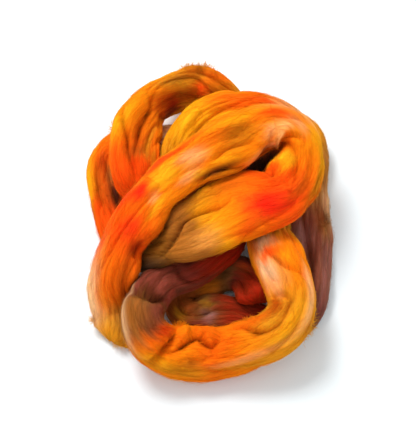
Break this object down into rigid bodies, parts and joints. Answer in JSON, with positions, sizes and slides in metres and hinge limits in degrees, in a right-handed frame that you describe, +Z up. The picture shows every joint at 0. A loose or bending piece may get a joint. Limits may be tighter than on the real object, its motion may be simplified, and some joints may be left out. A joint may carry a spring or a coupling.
{
  "type": "wool roving",
  "caption": "Loose length of dyed combed wool top dropped in an open knot, with torn and curled ends, flat where it touches the table.",
  "frame": {"origin": "bottom centre of the heap's bounding box, on the surface it lies on", "axes": "+X to the right of the heap as pictured, +Y away from the viewer, from the torn end and ring at the front to the tall loop at the back, +Z up"},
  "size_m": [0.2165, 0.2997, 0.0766],
  "materials": {
    "wool": "matte"
  },
  "bodies": {
    "root": {"roving": "wool"}
  },
  "joints": []
}
